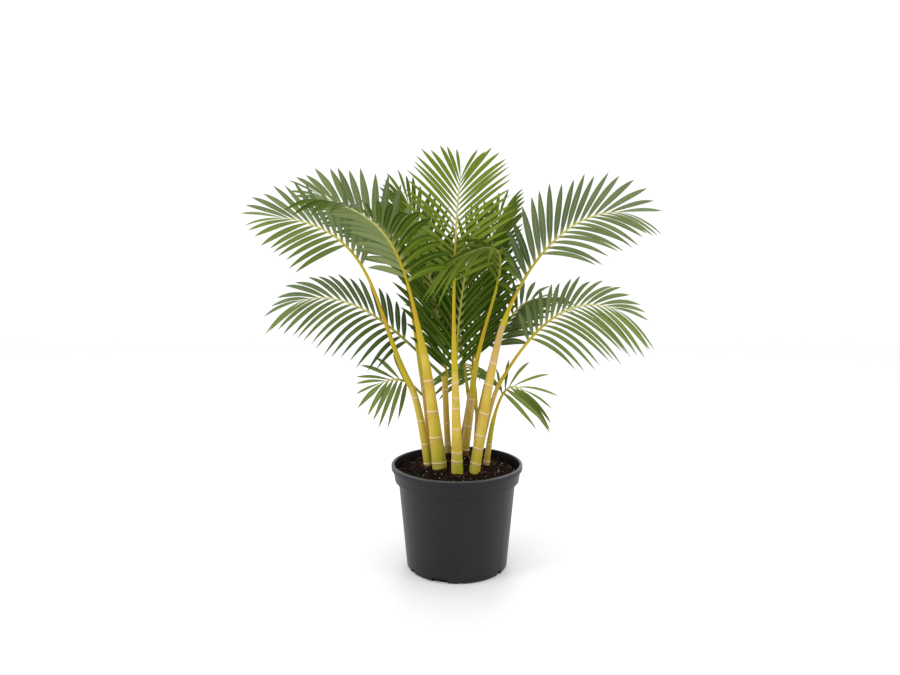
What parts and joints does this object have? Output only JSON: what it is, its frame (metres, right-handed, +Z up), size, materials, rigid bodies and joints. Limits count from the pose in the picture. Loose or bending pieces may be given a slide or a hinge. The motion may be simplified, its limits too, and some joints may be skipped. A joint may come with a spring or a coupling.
{
  "type": "potted palm",
  "caption": "Clump of ringed yellow palm canes with arching feather-shaped fronds, growing in soil in a round tapered black nursery pot.",
  "frame": {"origin": "centre of the pot's flat underside, on the surface that the pot stands on", "axes": "+Z up, -Y towards the viewer of the picture, +X to the viewer's right"},
  "size_m": [0.8688, 0.5506, 0.8708],
  "materials": {
    "pot_plastic": "satin black, moulded",
    "potting_mix": "dark crumbly peat and bark mix with white perlite",
    "cane_skin": "smooth waxy yellow skin with pale ring scars",
    "foliage": "satin green leaflets on yellow midribs"
  },
  "bodies": {
    "root": {"pot": "pot_plastic", "soil": "potting_mix", "cane_left_outer": "cane_skin", "cane_left_upper": "cane_skin", "cane_left_front": "cane_skin", "cane_back_left": "cane_skin", "cane_centre": "cane_skin", "cane_inner_right": "cane_skin", "cane_right_upper": "cane_skin", "cane_right_outer": "cane_skin", "cane_right_small": "cane_skin", "cane_back_shoot": "cane_skin", "cane_back_centre": "cane_skin", "cane_middle": "cane_skin", "frond_centre": "foliage", "frond_right_upper": "foliage", "frond_left_outer": "foliage", "frond_left_front": "foliage", "frond_left_lower": "foliage", "frond_right_lower": "foliage", "frond_left_upper": "foliage", "frond_small_left": "foliage", "frond_small_right": "foliage", "frond_inner_right": "foliage", "frond_back_left": "foliage", "frond_back_centre": "foliage", "frond_back_inner": "foliage", "frond_middle": "foliage", "frond_back_right": "foliage", "frond_small_back": "foliage"}
  },
  "joints": []
}
